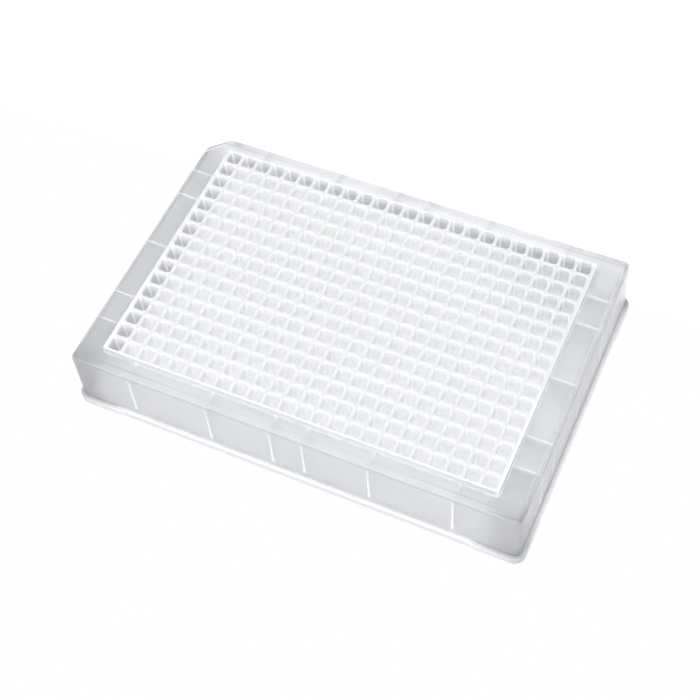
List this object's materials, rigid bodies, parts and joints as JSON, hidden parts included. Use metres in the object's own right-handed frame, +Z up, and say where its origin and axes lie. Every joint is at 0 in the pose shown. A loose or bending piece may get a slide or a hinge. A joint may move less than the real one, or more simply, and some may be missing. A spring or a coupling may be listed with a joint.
{
  "type": "well plate",
  "caption": "Moulded laboratory plate: a raised block of deep square wells, a lower deck around it, a tall ribbed skirt and a flange that stacks on the plate below.",
  "frame": {"origin": "middle of the footprint, on the bench that the plate stands on", "axes": "+X along the long side and +Z up out of the wells; well A1 and the bevelled corner are at -X, +Y"},
  "size_m": [0.1278, 0.0854, 0.022],
  "materials": {
    "polypropylene": "natural translucent polypropylene, milky white, satin sheen"
  },
  "bodies": {
    "root": {"plate": "polypropylene"}
  },
  "joints": []
}
